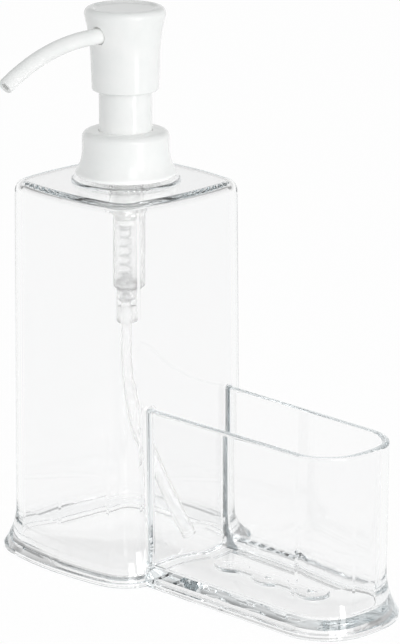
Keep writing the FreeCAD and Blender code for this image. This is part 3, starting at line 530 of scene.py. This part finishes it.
def basePlate():
    # bowed square slab with soft edges, a hair below its ledge: point = outline point - inset * outward,
    # where each side is an arc of the bow radius and each corner an arc tangent to both of its sides
    plate = {"bow": 126.9, "corner": 10.9, "edge": 0.2, "support": 0.1, "seam": 0.03, "sideSteps": 24,
             "cornerSteps": 12}
    low, high = boxMm("base_plate")
    bow, corner, edge = plate["bow"], plate["corner"], plate["edge"]
    side = high[0] - bow
    middle = (side + math.sqrt(2 * (bow - corner) ** 2 - side * side)) / 2
    lean = math.atan2(middle, middle - side)
    angle = np.concatenate([np.linspace(-lean, lean, plate["sideSteps"]),
                            np.linspace(lean, np.pi / 2 - lean, plate["cornerSteps"])[1:-1]])
    onSide = (np.arange(len(angle)) < plate["sideSteps"])[:, None]
    outward = np.stack([np.cos(angle), np.sin(angle)], 1)
    quarter = np.where(onSide, (side, 0) + bow * outward, middle + corner * outward)
    spins = [np.linalg.matrix_power(np.array([(0, -1), (1, 0)]), count) for count in range(4)]
    outline = np.vstack([quarter @ spin.T for spin in spins])
    outward = np.vstack([outward @ spin.T for spin in spins])
    foot, top = low[2], high[2] - plate["seam"]
    bevel = edge * (1 - math.sqrt(0.5))
    rows = [(edge + plate["support"], foot), (edge, foot), (bevel, foot + bevel), (0, foot + edge),
            (0, top - edge), (bevel, top - bevel), (edge, top), (edge + plate["support"], top)]
    inset, height = np.array(rows).T
    rings = np.concatenate([outline[None] - inset[:, None, None] * outward[None],
                            np.broadcast_to(height[:, None, None], (len(rows), len(outline), 1))], 2)
    count = len(outline)
    turn, start = np.arange(count), np.arange(len(rows) - 1)[:, None] * count
    ahead, after = (turn + 1) % count, start + count
    quads = np.stack([start + turn, start + ahead, after + ahead, after + turn], -1).reshape(-1, 4)
    points = np.vstack([rings.reshape(-1, 3), (0, 0, foot), (0, 0, top)])
    last = (len(rows) - 1) * count
    under = np.stack([ahead, turn, np.full(count, len(points) - 2)], -1)
    over = np.stack([last + turn, last + ahead, np.full(count, len(points) - 1)], -1)
    faces = quads.tolist() + under.tolist() + over.tolist()
    return dressed(newPiece("basePlate", points, faces), "caddy", "base_plate")


makers = [pushHead, spoutTube, screwCollar, neckSleeve, pumpHousing, dipTube, coilSpring, basePlate]
pieces = [maker() for maker in makers]
print("pieces:", ", ".join(piece.name for piece in pieces))


def setCamera():
    # the photograph's own view: a long lens, 16 degrees above level, with the tray to the right
    view = {"placeMm": (877.527, -819.997, 431.8), "way": (-0.68744, 0.67225, -0.27480), "lensMm": 187.08,
            "sensorMm": 36.0, "reach": 20.0}
    camera = bpy.data.objects.new("camera", bpy.data.cameras.new("camera"))
    camera.data.lens = view["lensMm"]
    camera.data.sensor_width = view["sensorMm"]
    camera.data.clip_end = view["reach"]
    camera.location = Vector(view["placeMm"]) * mm
    camera.rotation_euler = Vector(view["way"]).to_track_quat("-Z", "Y").to_euler()
    bpy.context.scene.collection.objects.link(camera)
    bpy.context.scene.camera = camera


def setFloor():
    # pale paper that keeps the shadow and looks nearly white, also in mirrors and through clear walls
    paper = {"sizeMm": 9000.0, "dropMm": 0.4, "colour": "#f7f7f7", "glow": 0.97}
    material, tree = newMaterial("paper floor")
    ray = addNode(tree, "ShaderNodeLightPath", {})
    seen = ray.outputs["Is Camera Ray"]
    for kind in ("Is Glossy Ray", "Is Transmission Ray"):
        added = {"operation": "ADD", "use_clamp": True}
        seen = addNode(tree, "ShaderNodeMath", added, seen, ray.outputs[kind]).outputs[0]
    share = addNode(tree, "ShaderNodeMath", {"operation": "MULTIPLY"}, seen, paper["glow"])
    plain = addNode(tree, "ShaderNodeBsdfDiffuse", {"Color": srgb(paper["colour"])})
    glow = addNode(tree, "ShaderNodeEmission", {"Strength": 1.0})
    mixed = addNode(tree, "ShaderNodeMixShader", {}, share.outputs[0], plain.outputs[0], glow.outputs[0])
    addNode(tree, "ShaderNodeOutputMaterial", {"Surface": mixed.outputs[0]})
    half, drop = paper["sizeMm"] / 2, paper["dropMm"]
    corners = [(-half, -half, -drop), (half, -half, -drop), (half, half, -drop), (-half, half, -drop)]
    floor = newPiece("floor", corners, [[0, 1, 2, 3]])
    floor.data.materials.append(material)


def setSurround():
    # white to the camera, a plain fill light on the object, and for bent and mirrored rays a white room with
    # a dark band part of the way up, behind and beside the object, so that clear edges read as grey lines
    room = {"fillColour": "#fbfdfd", "fillLow": 0.81, "fillHigh": 0.35, "fillTurn": 0.4,
            "bands": [(0.0, 1.0), (0.12, 1.0), (0.2, 0.8), (0.3, 0.85), (0.4, 0.34), (0.55, 0.34),
                      (0.68, 0.9), (0.85, 1.0)],
            "frontWay": (0.715, -0.699, 0.0), "frontEdges": (0.05, 0.6)}
    world = bpy.data.worlds.new("surround")
    bpy.context.scene.world = world
    world.use_nodes = True
    tree = world.node_tree
    tree.nodes.clear()
    spot = addNode(tree, "ShaderNodeTexCoord", {})
    axes = addNode(tree, "ShaderNodeSeparateXYZ", {"Vector": spot.outputs["Generated"]})
    level = addNode(tree, "ShaderNodeMapRange", {
        "Value": axes.outputs["Z"], "From Min": room["fillTurn"], "To Min": room["fillLow"],
        "To Max": room["fillHigh"]})
    fill = addNode(tree, "ShaderNodeBackground", {
        "Color": srgb(room["fillColour"]), "Strength": level.outputs["Result"]})
    bands = addNode(tree, "ShaderNodeValToRGB", {"Fac": axes.outputs["Z"]})
    ramp = bands.color_ramp
    while len(ramp.elements) < len(room["bands"]):
        ramp.elements.new(0.5)
    for element, (place, grey) in zip(ramp.elements, room["bands"]):
        element.position = place
        element.color = (grey, grey, grey, 1.0)
    banded = addNode(tree, "ShaderNodeBackground", {"Color": bands.outputs["Color"], "Strength": 1.0})
    white = addNode(tree, "ShaderNodeBackground", {"Color": (1, 1, 1, 1), "Strength": 1.0})
    facing = addNode(tree, "ShaderNodeVectorMath", {"operation": "DOT_PRODUCT"},
                     spot.outputs["Generated"], room["frontWay"])
    inFront = addNode(tree, "ShaderNodeMapRange", {
        "Value": facing.outputs["Value"], "From Min": room["frontEdges"][0],
        "From Max": room["frontEdges"][1]})
    around = addNode(tree, "ShaderNodeMixShader", {},
                     inFront.outputs["Result"], banded.outputs[0], white.outputs[0])
    ray = addNode(tree, "ShaderNodeLightPath", {})
    bent = addNode(tree, "ShaderNodeMath", {"operation": "ADD", "use_clamp": True},
                   ray.outputs["Is Glossy Ray"], ray.outputs["Is Transmission Ray"])
    lit = addNode(tree, "ShaderNodeMixShader", {}, bent.outputs[0], fill.outputs[0], around.outputs[0])
    whole = addNode(tree, "ShaderNodeMixShader", {},
                    ray.outputs["Is Camera Ray"], lit.outputs[0], white.outputs[0])
    addNode(tree, "ShaderNodeOutputWorld", {"Surface": whole.outputs[0]})


def setLamps():
    # one large soft lamp to the right of the camera, and a low strip there that upright walls mirror
    lamps = {
        "key": {"place": (1.44, -0.66, 0.95), "size": (0.5, 0.9), "watts": 5.0},
        "strip": {"place": (0.56, -0.05, 0.17), "size": (0.1, 0.3), "watts": 0.6},
    }
    target = Vector((0.02, 0.0, 0.1))
    for name, lamp in lamps.items():
        light = bpy.data.lights.new(name, "AREA")
        light.shape = "RECTANGLE"
        light.size, light.size_y = lamp["size"]
        light.energy = lamp["watts"]
        holder = bpy.data.objects.new(name, light)
        holder.location = lamp["place"]
        holder.visible_camera = False
        holder.rotation_euler = (target - holder.location).to_track_quat("-Z", "Y").to_euler()
        bpy.context.scene.collection.objects.link(holder)


setCamera()
setFloor()
setSurround()
setLamps()
scene = bpy.context.scene
scene.view_settings.view_transform = "Standard"
# light crosses many clear walls and is mirrored inside them; blurred mirroring would darken what they hold
scene.cycles.max_bounces = 64
scene.cycles.transmission_bounces = 48
scene.cycles.glossy_bounces = 48
scene.cycles.diffuse_bounces = 32
scene.cycles.blur_glossy = 0.0
print("stage: camera, floor, surround and lamps")
